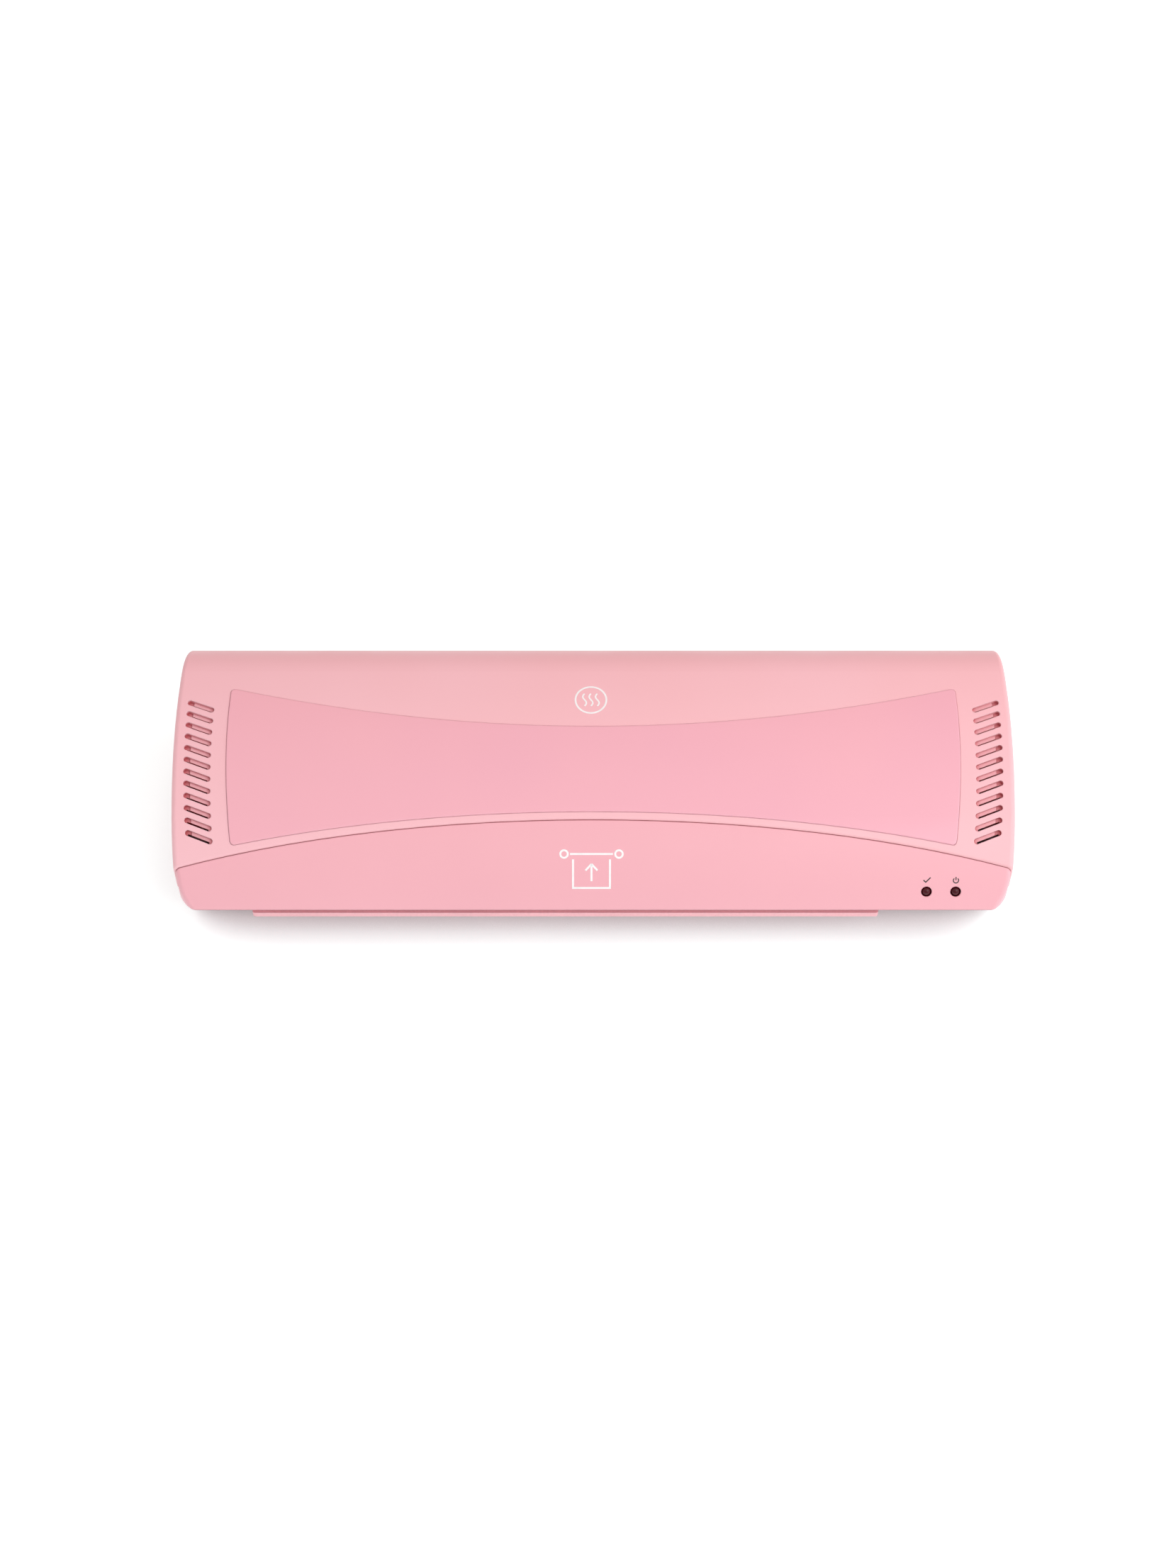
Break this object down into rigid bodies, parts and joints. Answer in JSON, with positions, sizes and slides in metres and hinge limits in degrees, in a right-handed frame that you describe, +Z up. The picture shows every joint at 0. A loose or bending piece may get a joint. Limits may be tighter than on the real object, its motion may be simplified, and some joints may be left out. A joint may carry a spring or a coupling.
{
  "type": "pouch laminator",
  "caption": "Desktop thermal pouch laminator with a barrel-topped pink casing, a front feed slot with a shelf, end vents, lamps, geared rollers and a rear release lever.",
  "frame": {"origin": "on the table, under the middle of the machine's outer box", "axes": "+X to the user's right along the feed slot, -Y towards the user, +Z up"},
  "size_m": [0.34, 0.1194, 0.0653],
  "materials": {
    "cover_plastic": "fine spark-eroded grain, satin",
    "inlay_plastic": "smooth satin",
    "apron_plastic": "very fine grain, satin",
    "shelf_plastic": "textured, satin",
    "tub_plastic": "fine grain, satin",
    "lamp_epoxy": "deep red tinted epoxy",
    "circuit_board": "solder mask over laminate",
    "resistor_body": "coated ceramic",
    "rubber_black": "matt",
    "screw_steel": "zinc plated",
    "switch_black": "satin",
    "frame_steel": "galvanised sheet",
    "shaft_steel": "ground",
    "silicone_red": "matt silicone",
    "bush_plastic": "filled, self-lubricating",
    "gear_plastic": "natural acetal",
    "spring_steel": "drawn wire",
    "motor_can": "plated",
    "heater_aluminium": "mill finish",
    "mica_sheet": "mica laminate",
    "phenolic": "moulded phenolic",
    "guide_plastic": "heat resistant, matt",
    "lever_plastic": "fine grain, satin"
  },
  "bodies": {
    "root": {"top_cover": "cover_plastic", "top_inlay_panel": "inlay_plastic", "front_apron": "apron_plastic", "bottom_case": "tub_plastic", "feed_shelf": "shelf_plastic", "ready_lamp": "lamp_epoxy", "power_lamp": "lamp_epoxy", "lamp_board": "circuit_board", "board_resistors": "resistor_body", "board_screws": "screw_steel", "rubber_feet": "rubber_black", "case_screws": "screw_steel", "cord_gland": "rubber_black", "switch_housing": "switch_black", "side_frame_left": "frame_steel", "side_frame_right": "frame_steel", "tie_bars": "shaft_steel", "tie_bar_screws": "screw_steel", "frame_screws": "screw_steel", "lower_roller_bushes": "bush_plastic", "pressure_springs": "spring_steel", "idler_pin": "shaft_steel", "idler_clip": "spring_steel", "drive_motor": "motor_can", "motor_bracket": "frame_steel", "motor_screws": "screw_steel", "bracket_standoffs": "shaft_steel", "standoff_screws": "screw_steel", "lower_heater_plate": "heater_aluminium", "upper_heater_plate": "heater_aluminium", "lower_heating_element": "mica_sheet", "upper_heating_element": "mica_sheet", "lower_exit_guide": "guide_plastic", "upper_exit_guide": "guide_plastic", "upper_heat_shield": "frame_steel", "lower_heat_shield": "frame_steel", "thermostat": "phenolic", "thermal_fuse": "resistor_body"},
    "lower_roller": {"lower_roller_shaft": "shaft_steel", "lower_roller_sleeve": "silicone_red", "lower_roller_gear": "gear_plastic", "lower_roller_clip": "spring_steel"},
    "upper_carriage": {"upper_bearing_blocks": "bush_plastic"},
    "upper_roller": {"upper_roller_shaft": "shaft_steel", "upper_roller_sleeve": "silicone_red", "upper_roller_gear": "gear_plastic", "upper_roller_clip": "spring_steel"},
    "idler": {"idler_gear": "gear_plastic"},
    "motor_rotor": {"motor_pinion": "gear_plastic", "motor_shaft": "shaft_steel"},
    "release": {"release_shaft": "shaft_steel", "release_cams": "gear_plastic", "release_lever": "lever_plastic"},
    "rocker": {"power_rocker": "switch_black"}
  },
  "joints": [
    {"name": "lower_roller_spin", "type": "hinge", "parent": "root", "child": "lower_roller", "pos_m": [0, 0.0126, 0.01685], "axis": [1, 0, 0], "continuous": true},
    {"name": "upper_roller_lift", "type": "slide", "parent": "root", "child": "upper_carriage", "axis": [0, 0, 1], "range_m": [0, 0.0015], "stiffness_N_per_m": 1500, "springref_m": -0.004, "deforming": ["pressure_springs"]},
    {"name": "upper_roller_spin", "type": "hinge", "parent": "upper_carriage", "child": "upper_roller", "pos_m": [0, 0.0126, 0.03515], "axis": [1, 0, 0], "continuous": true},
    {"name": "idler_spin", "type": "hinge", "parent": "root", "child": "idler", "pos_m": [0.116, -0.00783, 0.02232], "axis": [1, 0, 0], "continuous": true},
    {"name": "motor_spin", "type": "hinge", "parent": "root", "child": "motor_rotor", "pos_m": [0.12, -0.0169, 0.03804], "axis": [1, 0, 0], "continuous": true},
    {"name": "release_lever_turn", "type": "hinge", "parent": "root", "child": "release", "pos_m": [-0.15, 0.0316, 0.033], "axis": [1, 0, 0], "range_deg": [0, 35]},
    {"name": "power_rocker_tilt", "type": "hinge", "parent": "root", "child": "rocker", "pos_m": [0.14, 0.0543, 0.016], "axis": [0, 0, 1], "range_deg": [-8, 8]}
  ],
  "couplings": [
    {"joint": "upper_roller_spin", "follows": "lower_roller_spin", "ratio": -1},
    {"joint": "idler_spin", "follows": "lower_roller_spin", "ratio": -0.75},
    {"joint": "motor_spin", "follows": "lower_roller_spin", "ratio": 1.5},
    {"joint": "release_lever_turn", "follows": "upper_roller_lift", "rad_per_m": 407.2}
  ]
}
